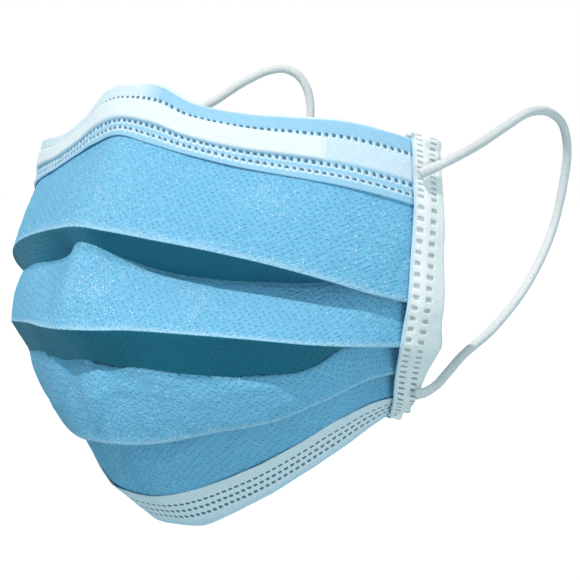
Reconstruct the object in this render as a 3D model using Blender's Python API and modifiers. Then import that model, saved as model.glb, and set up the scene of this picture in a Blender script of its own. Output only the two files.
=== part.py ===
"""Pleated surgical face mask, in the form it keeps on a face.

Units are metres and +Z is up. The nose points to -Y and +X is the wearer's left.
The origin is on the inner face of the top edge, where it sits on the bridge of the nose.

Each upright section of the cloth runs like a belt over rollers: one roller for each fold edge and
one for the fold hidden behind it. The sections are lofted from one side edge to the other.
"""
import math

import bpy
import numpy as np

# Driving sizes
HALF_SPAN = 0.068        # middle of the mask to its widest side edge
DEPTH = 0.057            # how far the most forward fold stands before the side edges
HEIGHT = 0.1060          # top edge to bottom edge at the middle
CLOTH = 0.001            # wall of the body, hems and side tapes
CLEAR = 0.0004           # gap between one piece and the next
FOLD_RADIUS = 0.0008     # middle of the cloth round a fold
PLEAT = 0.010            # how far each pleat reaches up behind its fold edge
HEM_INSIDE = 0.72        # how far a hem runs along the inner face, as a share of its height
WIRE_WIDTH = 0.0035
WIRE_THICK = 0.001
WIRE_LEVEL = 0.47        # middle of the wire, as a share of the hem's height
WIRE_END = 0.60          # where the nose wire ends, as a share of the half width
TAPE_WIDTH = 0.0100      # side tape, measured on the cloth from the side edge
HEM_GAP = 0.0022         # from the end of a hem to the side tape
CORD_DIAMETER = 0.0022
RIDGE_ROUND = 0.05       # softness of the crease down the middle, as a share of the half width
FRAME_ROUND = 0.3        # the same for the directions in which the folds stand off
RIGHT_SAG = 0.005        # how much lower the top edge lies over the wearer's right cheek
SAG_SHARES = {"top": 1.0, "hem": 0.35}

# Stations from the middle (0) to the side edge (1) at which the tables below give their shares
STATIONS = (0.0, 0.1, 0.2, 0.35, 0.5, 0.65, 0.8, 1.0)

# Each line across the mask: half span, depth at the middle, set back of its side ends, belly of
# its plan, and drops below the top of the nose edge at the stations.
# reach is a share of HALF_SPAN, depth and back are shares of DEPTH, drops are shares of HEIGHT.
# A belly of 0 is a straight plan from nose to side edge, and 1 is an ellipse.
LINES = {
    "top": {"reach": 0.970, "depth": 0.59, "back": 0.00, "belly": 0.75,
            "drops": (0.000, 0.004, 0.042, 0.065, 0.073, 0.081, 0.103, 0.138)},
    "hem": {"reach": 0.990, "depth": 0.66, "back": 0.00, "belly": 0.75,
            "drops": (0.110, 0.128, 0.150, 0.178, 0.198, 0.218, 0.243, 0.280)},
    "fold_1": {"reach": 1.000, "depth": 0.90, "back": 0.00, "belly": 0.75,
               "drops": (0.310, 0.318, 0.331, 0.353, 0.380, 0.413, 0.448, 0.480)},
    "fold_2": {"reach": 1.000, "depth": 1.00, "back": 0.00, "belly": 0.62,
               "drops": (0.533, 0.533, 0.531, 0.537, 0.546, 0.557, 0.561, 0.562)},
    "fold_3": {"reach": 0.910, "depth": 0.76, "back": 0.09, "belly": 0.60,
               "drops": (0.792, 0.792, 0.782, 0.755, 0.731, 0.684, 0.640, 0.620)},
    "chin_hem": {"reach": 0.830, "depth": 0.50, "back": 0.17, "belly": 0.55,
                 "drops": (0.926, 0.918, 0.897, 0.851, 0.797, 0.739, 0.701, 0.685)},
    "bottom": {"reach": 0.700, "depth": 0.32, "back": 0.30, "belly": 0.55,
               "drops": (1.000, 0.997, 0.973, 0.924, 0.867, 0.811, 0.761, 0.719)},
}

# Each pleat: how far its hidden fold stands in from its edge, and how far up the panel it lies,
# at the stations, as shares of PLEAT. Closed flat at the side edge, pulled open at the middle.
PLEATS = {
    "fold_1": {"inset": (0.20, 0.60, 0.90, 0.90, 0.80, 0.60, 0.25, 0.00),
               "rise": (-0.25, -0.30, -0.30, -0.30, -0.20, 0.00, 0.50, 0.90)},
    "fold_2": {"inset": (0.85, 0.90, 0.90, 0.95, 0.90, 0.70, 0.30, 0.00),
               "rise": (-0.50, -0.45, -0.40, -0.45, -0.40, -0.30, 0.30, 0.90)},
    "fold_3": {"inset": (0.40, 0.40, 0.40, 0.40, 0.40, 0.30, 0.20, 0.00),
               "rise": (0.10, 0.10, 0.20, 0.20, 0.20, 0.30, 0.50, 0.90)},
}
FOLDS = tuple(PLEATS)

# Routes of the ear loops, from the weld near the top corner round to the one near the lower corner
LEFT_LOOP = (
    (0.0684, 0.0266, -0.0150), (0.0705, 0.0314, -0.0127), (0.0706, 0.0378, -0.0106),
    (0.0678, 0.0467, -0.0086), (0.0645, 0.0605, -0.0043), (0.0618, 0.0731, -0.0007),
    (0.0586, 0.0848, -0.0007), (0.0551, 0.0947, -0.0046), (0.0529, 0.0987, -0.0100),
    (0.0508, 0.0998, -0.0187), (0.0489, 0.0983, -0.0294), (0.0485, 0.0901, -0.0419),
    (0.0504, 0.0745, -0.0529), (0.0545, 0.0560, -0.0599), (0.0565, 0.0490, -0.0630),
    (0.0572, 0.0440, -0.0656), (0.0566, 0.0417, -0.0668), (0.0553, 0.0397, -0.0674),
)
RIGHT_LOOP = (
    (-0.0688, 0.0267, -0.0193), (-0.0704, 0.0311, -0.0170), (-0.0701, 0.0371, -0.0136),
    (-0.0639, 0.0440, -0.0092), (-0.0545, 0.0535, -0.0038), (-0.0436, 0.0651, 0.0015),
    (-0.0372, 0.0743, 0.0083), (-0.0337, 0.0790, 0.0109), (-0.0311, 0.0823, 0.0114),
    (-0.0289, 0.0849, 0.0100), (-0.0273, 0.0867, 0.0068), (-0.0264, 0.0875, 0.0018),
    (-0.0266, 0.0870, -0.0050), (-0.0288, 0.0842, -0.0150), (-0.0340, 0.0770, -0.0320),
    (-0.0430, 0.0650, -0.0495), (-0.0515, 0.0545, -0.0590), (-0.0554, 0.0490, -0.0629),
    (-0.0571, 0.0444, -0.0656), (-0.0566, 0.0418, -0.0668), (-0.0553, 0.0397, -0.0674),
)

# Mesh steps
COLUMNS = 36
PANEL_STEPS = 4
RETURN_STEPS = 2
ROUND_STEPS = 2
TAPE_ROWS = 26
CORD_POINTS = 35

# Colours
BLUE = (0.19, 0.52, 0.83, 1.0)
PALE_BLUE = (0.55, 0.76, 0.90, 1.0)
WHITE = (0.86, 0.88, 0.88, 1.0)


def at_station(shares, s):
    """The share at station s, on a smooth curve through the table's values."""
    s = min(abs(s), 1.0)
    last = len(STATIONS) - 2
    i = min(last, max(0, int(np.searchsorted(STATIONS, s, side="right")) - 1))

    def slope(k):
        low = max(0, k - 1)
        high = min(len(STATIONS) - 1, k + 1)
        return (shares[high] - shares[low]) / (STATIONS[high] - STATIONS[low])

    width = STATIONS[i + 1] - STATIONS[i]
    t = (s - STATIONS[i]) / width
    start_slope = 0.0 if i == 0 else slope(i)
    return ((1 + 2 * t) * (1 - t) ** 2 * shares[i] + t * (1 - t) ** 2 * width * start_slope
            + t * t * (3 - 2 * t) * shares[i + 1] - t * t * (1 - t) * width * slope(i + 1))


def plan_point(s, half, depth, back, belly, soft):
    """A point of a line seen from above, s running from -1 to 1 and soft rounding the middle."""
    turn = s * math.pi / 2
    across = half * ((1 - belly) * s + belly * math.sin(turn))
    ease = (math.hypot(s, soft) - soft) / (math.hypot(1.0, soft) - soft)
    inward = (1 - belly) * ease + belly * (1 - math.cos(turn))
    return np.array((across, -depth + (depth + back) * inward))


def plan_sizes(name):
    line = LINES[name]
    return line["reach"] * HALF_SPAN, line["depth"] * DEPTH, line["back"] * DEPTH, line["belly"]


def frame_at(s):
    """Base point, outward direction and sideways direction of the upright section at s."""
    sizes = plan_sizes("fold_1")
    step = 0.005
    along = plan_point(s + step, *sizes, FRAME_ROUND) - plan_point(s - step, *sizes, FRAME_ROUND)
    along /= np.linalg.norm(along)
    return plan_point(s, *sizes, RIDGE_ROUND), np.array((along[1], -along[0])), along


def line_point(name, s):
    """Outward offset, height and sideways drift of a line in the section at s."""
    line = LINES[name]
    place = plan_point(s, *plan_sizes(name), RIDGE_ROUND)
    base, out, along = frame_at(s)
    layers = {"fold_2": 1, "fold_3": 2, "chin_hem": 3, "bottom": 3}.get(name, 0)
    closed = smooth_step((abs(s) - 0.5) / 0.5)
    offset = (place - base) @ out - 3 * FOLD_RADIUS * layers * closed
    sag = RIGHT_SAG * SAG_SHARES.get(name, 0.0) * smooth_step(-s / 0.4)
    height = -HEIGHT * at_station(line["drops"], s) - sag
    return np.array((offset, height)), (place - base) @ along


def slant(name, s):
    """How squarely the section at s cuts a line: 1 is square across."""
    step = 0.005
    points = []
    for near in (s - step, s + step):
        point, drift = line_point(name, near)
        points.append(np.array(in_space(near, (point[0], point[1], drift))[:2]))
    run = points[1] - points[0]
    return abs(run @ frame_at(s)[2]) / np.linalg.norm(run)


def smooth_step(t):
    t = min(1.0, max(0.0, t))
    return t * t * (3 - 2 * t)


def turned(v):
    """A direction of the section turned a quarter to the left."""
    return np.array((-v[1], v[0]))


def leg_direction(first, second):
    """Direction of the belt from one roller to the next. A roller is (centre, signed radius)."""
    gap = second[0] - first[0]
    rise = second[1] - first[1]
    run = math.sqrt(max(gap @ gap - rise * rise, 1e-12))
    angle = math.atan2(gap[1], gap[0]) - math.atan2(rise, run)
    return np.array((math.cos(angle), math.sin(angle)))


def rollers_at(s):
    """Rollers of the section at s from the top edge to the bottom edge, with their sideways drift."""
    rollers = []
    for name in ("top", "hem"):
        point, drift = line_point(name, s)
        rollers.append((point, 0.0, drift))
    for name in FOLDS:
        point, drift = line_point(name, s)
        centre = point - np.array((FOLD_RADIUS, 0.0))
        up = rollers[-1][0] - point
        up /= np.linalg.norm(up)
        inward = turned(up)
        inset = 2 * FOLD_RADIUS + PLEAT * at_station(PLEATS[name]["inset"], s)
        rise = PLEAT * at_station(PLEATS[name]["rise"], s)
        rollers.append((centre, -FOLD_RADIUS, drift))
        rollers.append((centre + inset * inward + rise * up, FOLD_RADIUS, drift))
    for name in ("chin_hem", "bottom"):
        point, drift = line_point(name, s)
        rollers.append((point, 0.0, drift))
    return rollers


def section(s, panel_steps=PANEL_STEPS, return_steps=RETURN_STEPS, round_steps=ROUND_STEPS):
    """Points (outward, up, sideways) down the middle of the cloth in the section at s."""
    rollers = rollers_at(s)
    ways = [leg_direction(a, b) for a, b in zip(rollers, rollers[1:])]
    points = []
    for i, (centre, radius, drift) in enumerate(rollers):
        if radius:
            angle = math.atan2(ways[i - 1][1], ways[i - 1][0])
            side = math.copysign(1.0, radius)
            leave = math.atan2(ways[i][1], ways[i][0])
            turn = (side * (leave - angle) + math.pi / 2) % (2 * math.pi) - math.pi / 2
            for k in range(round_steps + 1):
                now = angle + side * turn * k / round_steps
                place = centre - radius * np.array((-math.sin(now), math.cos(now)))
                points.append((place[0], place[1], drift))
        else:
            points.append((centre[0], centre[1], drift))
        if i + 1 < len(rollers):
            steps = return_steps if radius < 0 else panel_steps
            if i in (0, len(rollers) - 2):
                steps = max(2, panel_steps // 2)
            start = centre - radius * turned(ways[i])
            end = rollers[i + 1][0] - rollers[i + 1][1] * turned(ways[i])
            for k in range(1, steps):
                t = k / steps
                place = start + (end - start) * t
                points.append((place[0], place[1], drift + (rollers[i + 1][2] - drift) * t))
    return points


def in_space(s, point):
    """World place of a section point, before the shift to the origin."""
    base, out, along = frame_at(s)
    ground = base + point[0] * out + point[2] * along
    return (ground[0], ground[1], point[1])


def seat():
    """The point of the top hem's inner face that sits on the nose."""
    top, _ = line_point("top", 0.0)
    hem, _ = line_point("hem", 0.0)
    up = (top - hem) / np.linalg.norm(top - hem)
    place = top - 0.4 * (top - hem) + turned(up) * (1.5 * CLOTH + CLEAR)
    return np.array(in_space(0.0, (place[0], place[1], 0.0)))


def material(name, colour, roughness):
    made = bpy.data.materials.new(name)
    made.use_nodes = True
    shader = made.node_tree.nodes["Principled BSDF"]
    shader.inputs["Base Color"].default_value = colour
    shader.inputs["Roughness"].default_value = roughness
    return made


def add_sheet(name, rows_of_points, thickness, finish, collection):
    """One cloth wall lofted through rows of points, given its thickness by Solidify."""
    shift = seat()
    height = len(rows_of_points[0])
    vertices = [tuple(np.array(p) - shift) for row in rows_of_points for p in row]
    faces = []
    for i in range(len(rows_of_points) - 1):
        for j in range(height - 1):
            a = i * height + j
            faces.append((a, a + 1, a + height + 1, a + height))
    mesh = bpy.data.meshes.new(name)
    mesh.from_pydata(vertices, [], faces)
    mesh.shade_smooth()
    sheet = bpy.data.objects.new(name, mesh)
    mesh.materials.append(finish)
    wall = sheet.modifiers.new("Wall", "SOLIDIFY")
    wall.thickness = thickness
    wall.offset = 0.0
    collection.objects.link(sheet)
    return sheet


def columns(first, last, count):
    """Stations from first to last, closer together at the middle and at the ends."""
    spread = np.linspace(-1.0, 1.0, count + 1)
    bent = spread - 0.07 * np.sin(2 * math.pi * spread)
    return (first + last) / 2 + (last - first) / 2 * bent


def build_body(collection, finish):
    sections = [[in_space(s, p) for p in section(s)] for s in columns(-1.0, 1.0, COLUMNS)]
    add_sheet("mask_body", sections, CLOTH, finish, collection)


def tape_station():
    """The station where the side tape begins on the cloth."""
    return 1.0 - TAPE_WIDTH / math.hypot(HALF_SPAN, DEPTH)


def hem_path(s, edge, line, swell):
    """A hem's path in the section at s: up the outer face, round the edge, and down the inner face."""
    tip, tip_drift = line_point(edge, s)
    root, root_drift = line_point(line, s)
    length = np.linalg.norm(tip - root)
    up = (tip - root) / length
    out = turned(up) if tip[1] < root[1] else -turned(up)
    stand = (CLOTH + CLEAR) / min(slant(line, s), slant(edge, s))
    crest = min(0.3, (WIRE_WIDTH / 2 + CLOTH) / length)
    foot = crest + 0.1
    path = []
    for share, lift in ((0.0, 0.0), (WIRE_LEVEL - foot, 0.0), (WIRE_LEVEL - crest, 1.0),
                        (WIRE_LEVEL + crest, 1.0), (WIRE_LEVEL + foot, 0.0), (1.0, 0.0)):
        place = root + up * length * share + out * (stand + lift * swell)
        path.append((place[0], place[1], root_drift + (tip_drift - root_drift) * share))
    for degrees in (60, 120):
        angle = math.radians(degrees)
        place = tip + stand * (math.cos(angle) * out + math.sin(angle) * up)
        path.append((place[0], place[1], tip_drift))
    for share in (0.0, HEM_INSIDE / 2, HEM_INSIDE):
        place = tip - up * length * share - out * stand
        path.append((place[0], place[1], tip_drift + (root_drift - tip_drift) * share))
    return path


def build_hems(collection, finish):
    """The hems stop a gap short of the side tapes."""
    end = tape_station() - HEM_GAP / HALF_SPAN
    for name, edge, line in (("top_hem", "top", "hem"), ("bottom_hem", "bottom", "chin_hem")):
        rows = []
        for s in columns(-end, end, COLUMNS):
            swell = 0.0
            if name == "top_hem":
                ending = smooth_step((WIRE_END + 0.1 - abs(s)) / 0.06)
                swell = (WIRE_THICK + 2 * CLEAR) / slant("hem", s) * ending
            path = hem_path(s, edge, line, swell)
            rows.append([in_space(s, p) for p in path])
        if name == "bottom_hem":
            rows.reverse()
        add_sheet(name, rows, CLOTH, finish, collection)


def build_wire(collection, finish):
    """The nose wire lies on the body inside the top hem."""
    rows = []
    for s in columns(-WIRE_END, WIRE_END, COLUMNS // 2):
        tip, tip_drift = line_point("top", s)
        root, root_drift = line_point("hem", s)
        length = np.linalg.norm(tip - root)
        up = (tip - root) / length
        out = -turned(up)
        row = []
        for side in (-0.5, 0.5):
            place = root + up * (WIRE_LEVEL * length + side * WIRE_WIDTH)
            place = place + out * (CLOTH / 2 + CLEAR + WIRE_THICK / 2) / slant("hem", s)
            row.append(in_space(s, (place[0], place[1], (root_drift + tip_drift) / 2)))
        rows.append(row)
    add_sheet("nose_wire", rows, WIRE_THICK - CLEAR, finish, collection)


def stood_off(path, distance):
    """The path moved sideways in its section, to its left, with its corners kept sharp."""
    path = np.array(path)
    steps = np.diff(path[:, :2], axis=0)
    steps /= np.linalg.norm(steps, axis=1)[:, None]
    before = np.vstack((steps[:1], steps))
    after = np.vstack((steps, steps[-1:]))
    moved = path.copy()
    for k in range(len(path)):
        mitre = turned(before[k]) + turned(after[k])
        mitre /= 1.0 + before[k] @ after[k]
        moved[k, :2] += distance * mitre
    return moved


def spaced(path, count, measured=3):
    """The same path with evenly spaced points, its length taken in its first measured axes."""
    steps = np.linalg.norm(np.diff(path[:, :measured], axis=0), axis=1)
    reach = np.concatenate(([0.0], np.cumsum(steps)))
    wanted = np.linspace(0.0, reach[-1], count)
    return np.stack([np.interp(wanted, reach, path[:, k]) for k in range(3)], axis=1)


def tape_faces(s):
    """Outer and inner path of the side tape down the section at s."""
    stand = 1.2 * FOLD_RADIUS + (CLOTH + CLEAR) / slant("fold_2", s)
    rollers = rollers_at(s)
    faces = []
    for picked, distance in (((0, 1, 2, 4, 6, 8, 9), stand), ((0, 1, 3, 5, 7, 8, 9), -stand)):
        path = [(*rollers[i][0], rollers[i][2]) for i in picked]
        faces.append(spaced(stood_off(path, distance), TAPE_ROWS, measured=2))
    return faces


def build_tapes(collection, finish):
    start = tape_station()
    for name, side in (("side_binding_left", 1.0), ("side_binding_right", -1.0)):
        paths = [(side * s, *tape_faces(side * s)) for s in (start, (start + 1) / 2, 1.0)]
        rows = []
        for k in range(TAPE_ROWS):
            row = [in_space(s, outer[k]) for s, outer, _ in paths]
            s, outer, inner = paths[-1]
            wrap = side * (CLOTH + CLEAR + max(side * outer[k][2], side * inner[k][2]))
            for share in (0.15, 0.85):
                p = outer[k] + (inner[k] - outer[k]) * share
                row.append(in_space(s, (p[0], p[1], wrap)))
            row += [in_space(s, inner[k]) for s, _, inner in reversed(paths)]
            rows.append(row)
        if side < 0:
            rows.reverse()
        add_sheet(name, rows, CLOTH, finish, collection)


def smooth_route(points, count):
    """Evenly spaced points on a smooth curve through the route's own points."""
    points = np.array(points)
    reach = np.concatenate(([0.0], np.cumsum(np.linalg.norm(np.diff(points, axis=0), axis=1))))
    slopes = np.gradient(points, reach, axis=0)
    fine = []
    for i in range(len(points) - 1):
        width = reach[i + 1] - reach[i]
        for t in np.linspace(0.0, 1.0, 40, endpoint=False):
            fine.append((1 + 2 * t) * (1 - t) ** 2 * points[i] + t * (1 - t) ** 2 * width * slopes[i]
                        + t * t * (3 - 2 * t) * points[i + 1]
                        - t * t * (1 - t) * width * slopes[i + 1])
    fine.append(points[-1])
    return spaced(np.array(fine), count)


def build_loops(collection, finish):
    for name, route in (("ear_loop_left", LEFT_LOOP), ("ear_loop_right", RIGHT_LOOP)):
        curve = bpy.data.curves.new(name, "CURVE")
        curve.dimensions = "3D"
        curve.bevel_depth = CORD_DIAMETER / 2
        curve.bevel_resolution = 2
        curve.use_fill_caps = True
        curve.materials.append(finish)
        line = curve.splines.new("POLY")
        line.points.add(CORD_POINTS - 1)
        for point, place in zip(line.points, smooth_route(route, CORD_POINTS)):
            point.co = (*place, 1.0)
        collection.objects.link(bpy.data.objects.new(name, curve))


def main():
    for old in list(bpy.data.objects):
        bpy.data.objects.remove(old, do_unlink=True)
    collection = bpy.data.collections.new("surgical_face_mask")
    bpy.context.scene.collection.children.link(collection)
    blue = material("blue_cloth", BLUE, 0.8)
    pale = material("hem_cloth", PALE_BLUE, 0.8)
    white = material("white_cloth", WHITE, 0.8)
    build_body(collection, blue)
    build_hems(collection, pale)
    build_wire(collection, white)
    build_tapes(collection, white)
    build_loops(collection, white)


main()
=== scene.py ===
"""Looks of the pleated surgical face mask: fine pleated cloth, welded hems, side tape and elastic.

Metres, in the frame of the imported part: -Y is the way the wearer looks and +X is the wearer's left.
The surface functions and the loops' routes are those of the part's source, at finer steps.
"""
import math

import bpy
import numpy as np
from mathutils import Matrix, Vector, noise


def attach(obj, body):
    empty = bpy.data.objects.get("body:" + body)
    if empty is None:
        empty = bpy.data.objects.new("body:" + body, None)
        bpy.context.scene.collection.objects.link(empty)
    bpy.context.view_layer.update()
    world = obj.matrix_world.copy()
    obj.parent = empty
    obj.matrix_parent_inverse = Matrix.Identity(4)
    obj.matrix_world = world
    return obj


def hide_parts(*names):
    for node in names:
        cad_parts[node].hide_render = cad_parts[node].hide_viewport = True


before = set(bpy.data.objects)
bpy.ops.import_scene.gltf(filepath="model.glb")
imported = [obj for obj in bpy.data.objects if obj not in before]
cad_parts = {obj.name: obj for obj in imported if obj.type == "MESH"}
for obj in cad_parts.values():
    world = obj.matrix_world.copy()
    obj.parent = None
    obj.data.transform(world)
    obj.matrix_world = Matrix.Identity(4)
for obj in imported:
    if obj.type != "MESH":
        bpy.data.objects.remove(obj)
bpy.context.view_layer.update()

# Sizes shared with the part
HALF_SPAN = 0.068
DEPTH = 0.057
HEIGHT = 0.1060
CAD_CLOTH = 0.001
CAD_CLEAR = 0.0004
CAD_FOLD = 0.0008
PLEAT = 0.010
HEM_INSIDE = 0.72
WIRE_END = 0.60
TAPE_WIDTH = 0.0100
CORD_DIAMETER = 0.0022
RIDGE_ROUND = 0.05
FRAME_ROUND = 0.3
RIGHT_SAG = 0.005
SAG_SHARES = {"top": 1.0, "hem": 0.35}
STATIONS = (0.0, 0.1, 0.2, 0.35, 0.5, 0.65, 0.8, 1.0)
LINES = {
    "top": {"reach": 0.970, "depth": 0.59, "back": 0.00, "belly": 0.75,
            "drops": (0.000, 0.004, 0.042, 0.065, 0.073, 0.081, 0.103, 0.138)},
    "hem": {"reach": 0.990, "depth": 0.66, "back": 0.00, "belly": 0.75,
            "drops": (0.110, 0.128, 0.150, 0.178, 0.198, 0.218, 0.243, 0.280)},
    "fold_1": {"reach": 1.000, "depth": 0.90, "back": 0.00, "belly": 0.75,
               "drops": (0.310, 0.318, 0.331, 0.353, 0.380, 0.413, 0.448, 0.480)},
    "fold_2": {"reach": 1.000, "depth": 1.00, "back": 0.00, "belly": 0.62,
               "drops": (0.533, 0.533, 0.531, 0.537, 0.546, 0.557, 0.561, 0.562)},
    "fold_3": {"reach": 0.910, "depth": 0.76, "back": 0.09, "belly": 0.60,
               "drops": (0.792, 0.792, 0.782, 0.755, 0.731, 0.684, 0.640, 0.620)},
    "chin_hem": {"reach": 0.830, "depth": 0.50, "back": 0.17, "belly": 0.55,
                 "drops": (0.926, 0.918, 0.897, 0.851, 0.797, 0.739, 0.701, 0.685)},
    "bottom": {"reach": 0.700, "depth": 0.32, "back": 0.30, "belly": 0.55,
               "drops": (1.000, 0.997, 0.973, 0.924, 0.867, 0.811, 0.761, 0.719)},
}
PLEATS = {
    "fold_1": {"inset": (0.20, 0.60, 0.90, 0.90, 0.80, 0.60, 0.25, 0.00),
               "rise": (-0.25, -0.30, -0.30, -0.30, -0.20, 0.00, 0.50, 0.90)},
    "fold_2": {"inset": (0.85, 0.90, 0.90, 0.95, 0.90, 0.70, 0.30, 0.00),
               "rise": (-0.50, -0.45, -0.40, -0.45, -0.40, -0.30, 0.30, 0.90)},
    "fold_3": {"inset": (0.40, 0.40, 0.40, 0.40, 0.40, 0.30, 0.20, 0.00),
               "rise": (0.10, 0.10, 0.20, 0.20, 0.20, 0.30, 0.50, 0.90)},
}
FOLDS = tuple(PLEATS)
LEFT_LOOP = (
    (0.0684, 0.0266, -0.0150), (0.0705, 0.0314, -0.0127), (0.0706, 0.0378, -0.0106),
    (0.0678, 0.0467, -0.0086), (0.0645, 0.0605, -0.0043), (0.0618, 0.0731, -0.0007),
    (0.0586, 0.0848, -0.0007), (0.0551, 0.0947, -0.0046), (0.0529, 0.0987, -0.0100),
    (0.0508, 0.0998, -0.0187), (0.0489, 0.0983, -0.0294), (0.0485, 0.0901, -0.0419),
    (0.0504, 0.0745, -0.0529), (0.0545, 0.0560, -0.0599), (0.0565, 0.0490, -0.0630),
    (0.0572, 0.0440, -0.0656), (0.0566, 0.0417, -0.0668), (0.0553, 0.0397, -0.0674),
)
RIGHT_LOOP = (
    (-0.0688, 0.0267, -0.0193), (-0.0704, 0.0311, -0.0170), (-0.0701, 0.0371, -0.0136),
    (-0.0639, 0.0440, -0.0092), (-0.0545, 0.0535, -0.0038), (-0.0436, 0.0651, 0.0015),
    (-0.0372, 0.0743, 0.0083), (-0.0337, 0.0790, 0.0109), (-0.0311, 0.0823, 0.0114),
    (-0.0289, 0.0849, 0.0100), (-0.0273, 0.0867, 0.0068), (-0.0264, 0.0875, 0.0018),
    (-0.0266, 0.0870, -0.0050), (-0.0288, 0.0842, -0.0150), (-0.0340, 0.0770, -0.0320),
    (-0.0430, 0.0650, -0.0495), (-0.0515, 0.0545, -0.0590), (-0.0554, 0.0490, -0.0629),
    (-0.0571, 0.0444, -0.0656), (-0.0566, 0.0418, -0.0668), (-0.0553, 0.0397, -0.0674),
)

# How far each pleat of the worn cloth has closed on the right cheek, as a share of its depth,
# and how far its inner crease drops where it is closed, in pleat depths
FAR_CLOSING = {"fold_1": 0.62, "fold_2": 0.55}
FAR_DROP = 0.35

# Folds whose ridge is crisper on the worn cloth than on the part
CRISP_RIDGE = {"fold_2": 0.02, "fold_3": 0.02}

# How far the worn cloth stands out past the part's wall under the right cheek
FAR_SWELL = {"fold_3": 0.0010, "chin_hem": 0.0034, "bottom": 0.0030}

# Sizes of the visible cloth, thinner than the part's stand-in walls
CLOTH = 0.0005
HEM_CLOTH = 0.0003
TAPE_CLOTH = 0.0003
GAP = 0.00006
FOLD_RADIUS = 0.0004
SLIGHT_TURN = 0.15       # below this angle the cloth bends at a corner and not round a roller
CORNER_STEP = 0.00006
BODY_COLUMNS = 260
PANEL_STEPS = 18
RETURN_STEPS = 8
ROUND_STEPS = 5
HEM_COLUMNS = 600
HEM_REACH = 0.985
HEM_OUTER_STEPS = 44
HEM_INNER_STEPS = 20
HEM_EDGE_ANGLES = np.radians(np.arange(30, 180, 30))
TAPE_LENGTH_STEPS = 300
TAPE_WIDTH_STEPS = 30
TAPE_EDGE_ANGLES = np.radians((20, 45, 70, 90, 110, 135, 160))
TAPE_SOFTNESS = 27       # steps over which the tape's path is smoothed
CORD_RINGS = 420
CORD_SIDES = 16
RIB_SHARE = 0.014
RIB_STEPS = (0.0016, 0.0007)
SWELL_SHARE = 0.02
SWELL_STEP = 0.0041
PRESSED_LENGTH = 0.0015  # the ends are flat for this length, then round out over the next
PRESSED_EASE = 0.004
PRESSED = 0.5
PRESSED_SPREAD = 0.3
PRESSED_SINK = 0.8       # how far a flat end sinks to the tape, as a share of its radius

# Weld dots of the hems: heights of the rows as shares of the hem, from its fold line
DOT_PITCH = 0.0018
DOT_SIZE = (0.00052, 0.00042)
BOTTOM_DOT_SIZE = (0.00066, 0.00052)
DOT_DEPTH = 0.00020
# Painted highlights beside the weld dots: spots larger than the dots, moved along the hem and down from
# each, where a dent's edge catches the light
DOT_HIGHLIGHT_GROWTH = (1.55, 1.6)
DOT_HIGHLIGHT_SHIFT = 0.00018
TOP_ROWS = (0.155, 0.30, 0.77)
BOTTOM_ROWS = (0.33, 0.52, 0.71)
HEM_LIFT = 0.00016        # keeps the dots of the outer face clear of the cloth under them
WIRE_LEVEL = 0.545
WIRE_HALF = 0.165
WIRE_SWELL = 0.0007
WIRE_EDGE = 0.05         # share of the hem over which the wire's bar slopes to the hem

# Weld windows of the side tape
WINDOW_PITCH = 0.00257
WINDOW_SIZE = (0.00080, 0.00056)
WINDOW_COLUMNS = (0.0018, 0.0050)
WINDOW_DEPTH = 0.00025
CLOSE_LENGTH = 0.014     # below the top corner the windows are gathered closer
TAPE_OVERHANG = 0.0016   # how far the tape stands past the top and bottom edges

# Legs of a section, numbered from the top edge down
HEM_LEGS = (0, 8)
PANEL_LEGS = (1, 3, 5, 7)
RETURN_LEGS = (2, 4, 6)
LOWER_PANEL_LEGS = (3, 5, 7)
FOLDED_LEGS = (1, 3, 5)

# Relief of the cloth. A layer of noise has a height, a size and a seed.
PANEL_BULGE = 0.0007
WAVES = ((0.00050, 0.019, 3.1),)
CRUMPLES = ((0.00022, 0.0065, 7.7), (0.00009, 0.0024, 11.3))
ROUGH_LEGS = {5: 1.7, 7: 2.4}
RETURN_CRUMPLES = 0.3    # how rough the cloth inside a pleat is, as a share of a panel
LEG_EASE = 0.12          # share of a leg over which its relief dies out at each end
HELD_FROM = 0.80         # station from which the tape holds the cloth flat
HELD_OVER = 0.18
HELD = 0.85
HEM_RIPPLES = ((0.00012, 0.005, 5.0), (0.0003, 0.02, 9.0))
TAPE_RIPPLES = ((0.00010, 0.003, 31.0), (0.0002, 0.012, 35.0))
TAPE_CRUMPLES = ((0.0022, 0.0035, 41.0),)
TAPE_CRUMPLED = 0.006    # length of each end of the tape that is crumpled

# Creases: leg, station and share of the leg at both ends, height and width
CREASES = (
    (1, 0.42, 0.40, 0.40, 0.98, 0.00065, 0.0012),
    (1, 0.86, 0.15, 0.95, 0.60, 0.00045, 0.0018),
    (1, 0.93, 0.30, 0.84, 0.85, -0.00040, 0.0016),
    (3, 0.33, 0.25, 0.33, 0.98, 0.00025, 0.0010),
    (5, 0.01, 0.42, 0.28, 0.34, 0.00060, 0.0007),
    (5, 0.06, 0.04, 0.01, 0.80, 0.00230, 0.0026),
    (5, 0.05, 0.02, 0.30, 0.25, 0.00050, 0.0010),
    (5, 0.40, 0.30, 0.75, 0.20, 0.00040, 0.0020),
    (7, 0.00, 0.35, 0.10, 0.62, 0.00090, 0.0022),
    (7, 0.30, 0.30, 0.10, 0.62, 0.00090, 0.0022),
    (7, 0.02, 0.60, 0.14, 0.80, -0.00060, 0.0022),
    (7, 0.30, 0.35, 0.70, 0.25, 0.00050, 0.0022),
    (7, 0.45, 0.75, 0.80, 0.60, -0.00045, 0.0020),
)
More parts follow.
